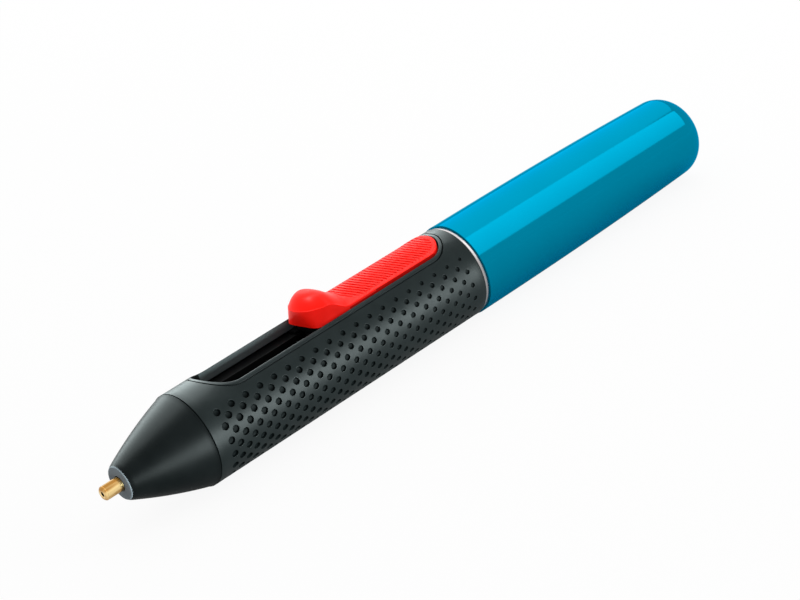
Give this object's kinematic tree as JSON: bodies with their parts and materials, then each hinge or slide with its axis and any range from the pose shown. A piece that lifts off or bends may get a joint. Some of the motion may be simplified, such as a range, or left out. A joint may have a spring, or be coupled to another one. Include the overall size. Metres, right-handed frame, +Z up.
{
  "type": "cordless glue gun",
  "caption": "Pen-shaped cordless hot-melt glue gun with a thumb slider in an open feed slot, a brass nozzle and a pull-off battery sleeve.",
  "frame": {"origin": "bottom centre of the whole pen as it lies on its side with the feed slot up; the pen's axis is 11.85 mm above it", "axes": "+X along the pen from the nozzle to the battery end, +Z up through the feed slot, +Y to the side"},
  "size_m": [0.1964, 0.0244, 0.0282],
  "materials": {
    "brass": "machined brass, satin",
    "silicone_black": "matt silicone",
    "nose_plastic": "heat-resistant moulded plastic, fine texture",
    "cast_aluminium": "cast and machined",
    "ceramic": "sintered heater ceramic",
    "spring_steel": "bright spring steel",
    "mica": "rolled mica board",
    "silicone_red": "matt silicone",
    "grip_plastic": "dimpled soft-touch grip, anthracite",
    "bezel_plastic": "satin moulded plastic, anthracite",
    "black_plastic": "satin moulded plastic, black",
    "screw_steel": "zinc plated",
    "red_plastic": "satin-gloss moulded plastic, signal red",
    "silver_trim": "satin silver",
    "blue_gloss": "high-gloss moulded plastic, cyan blue",
    "tray_plastic": "moulded plastic, dark grey",
    "cell_jacket": "plain printed-free cell jacket",
    "contact_metal": "nickel plated",
    "board_green": "solder mask, green",
    "electronics": "moulded component bodies",
    "clear_plastic": "clear light guide",
    "wire_red": "silicone-insulated wire",
    "wire_black": "silicone-insulated wire"
  },
  "bodies": {
    "pen_body": {"nozzle_tip": "brass", "tip_seal": "silicone_black", "nose_cone": "nose_plastic", "melt_tube": "cast_aluminium", "ptc_heaters": "ceramic", "heater_clip": "spring_steel", "heat_shield": "mica", "stick_seal": "silicone_red", "grip_shell": "grip_plastic", "slot_bezel": "bezel_plastic", "feed_trough": "black_plastic", "lower_frame": "black_plastic", "frame_screws": "screw_steel", "silver_ring": "silver_trim", "sleeve_seal": "silicone_black", "battery_tray": "tray_plastic", "cell_front": "cell_jacket", "cell_rear": "cell_jacket", "front_contact": "contact_metal", "rear_contact": "contact_metal", "battery_spring": "spring_steel", "return_strip": "contact_metal", "circuit_board": "board_green", "board_parts": "electronics", "usb_socket": "contact_metal", "touch_switch": "electronics", "light_guide": "clear_plastic", "heater_leads": "wire_red", "battery_leads": "wire_black"},
    "slider": {"slider_cap": "red_plastic", "slider_carriage": "black_plastic", "slider_screws": "screw_steel"},
    "power_button": {"power_button": "red_plastic"},
    "battery_sleeve": {"battery_sleeve": "blue_gloss"}
  },
  "joints": [
    {"name": "slider_feed", "type": "slide", "parent": "pen_body", "child": "slider", "axis": [-1, 0, 0], "range_m": [0, 0.0285]},
    {"name": "button_press", "type": "slide", "parent": "pen_body", "child": "power_button", "axis": [0, 0, 1], "range_m": [0, 0.0005], "stiffness_N_per_m": 600, "springref_m": -0.001},
    {"name": "sleeve_pull", "type": "slide", "parent": "pen_body", "child": "battery_sleeve", "axis": [1, 0, 0], "range_m": [0, 0.088]}
  ]
}
